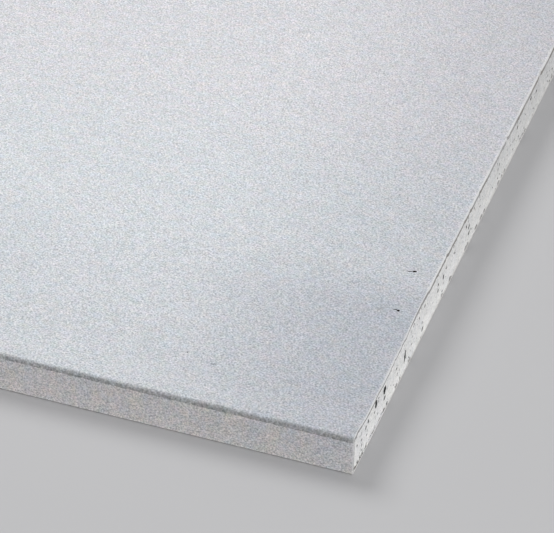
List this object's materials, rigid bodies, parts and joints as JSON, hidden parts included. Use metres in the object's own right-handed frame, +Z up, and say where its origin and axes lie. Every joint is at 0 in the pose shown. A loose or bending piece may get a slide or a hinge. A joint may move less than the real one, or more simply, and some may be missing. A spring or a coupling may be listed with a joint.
{
  "type": "drywall sheet",
  "caption": "Tapered-edge drywall sheet: gypsum core wrapped in face paper, with back paper lapped over its flaps.",
  "frame": {"origin": "middle of the back paper's underside, on the surface the sheet lies on", "axes": "+X along the length and the paper-wrapped edges, +Y across the width, +Z up out of the face"},
  "size_m": [2.4, 1.2, 0.0125],
  "materials": {
    "gypsum": "matt, foamed, open on the cut ends",
    "face_paper": "matt recycled paper with fine fibres",
    "back_paper": "matt grey-brown liner paper"
  },
  "bodies": {
    "root": {"gypsum_core": "gypsum", "face_paper": "face_paper", "back_paper": "back_paper"}
  },
  "joints": []
}
